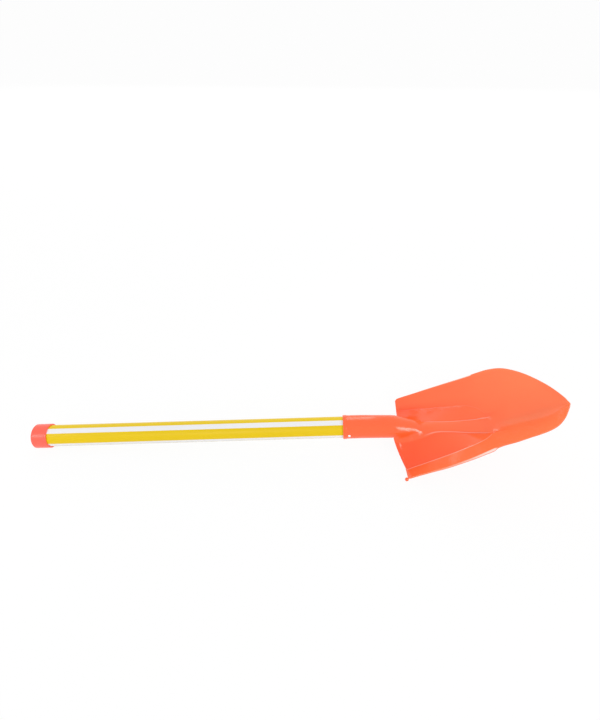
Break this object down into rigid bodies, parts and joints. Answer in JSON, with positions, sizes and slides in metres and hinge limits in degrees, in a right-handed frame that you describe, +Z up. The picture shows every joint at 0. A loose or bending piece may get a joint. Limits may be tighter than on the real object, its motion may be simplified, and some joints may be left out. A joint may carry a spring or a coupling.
{
  "type": "sand shovel",
  "caption": "Long-handled toy sand shovel: round striped handle with an end cap, and a dished pointed blade with a raised tongue, side lips and a moulded socket.",
  "frame": {"origin": "middle of the bottom of the bounding box, on the ground that the shovel lies on, resting on its end cap and the rear of its blade", "axes": "+X along the shovel towards the tip of the blade, +Y across the blade, +Z up"},
  "size_m": [0.5512, 0.1084, 0.0636],
  "materials": {
    "coral_plastic": "glossy injection moulded polypropylene, coral orange",
    "coral_cap": "glossy soft moulded plastic, coral with a pink tone",
    "tube_steel": "thin drawn steel tube",
    "yellow_sleeve": "smooth satin plastic sleeve, yellow",
    "white_stripe": "smooth satin plastic, white",
    "rivet_metal": "small bright rivet"
  },
  "bodies": {
    "root": {"shovel_head": "coral_plastic", "end_cap": "coral_cap", "handle_tube": "tube_steel", "handle_sleeve": "yellow_sleeve", "stripe_upper_near": "white_stripe", "stripe_lower_near": "white_stripe", "stripe_lower_far": "white_stripe", "stripe_upper_far": "white_stripe", "socket_rivet": "rivet_metal"}
  },
  "joints": []
}
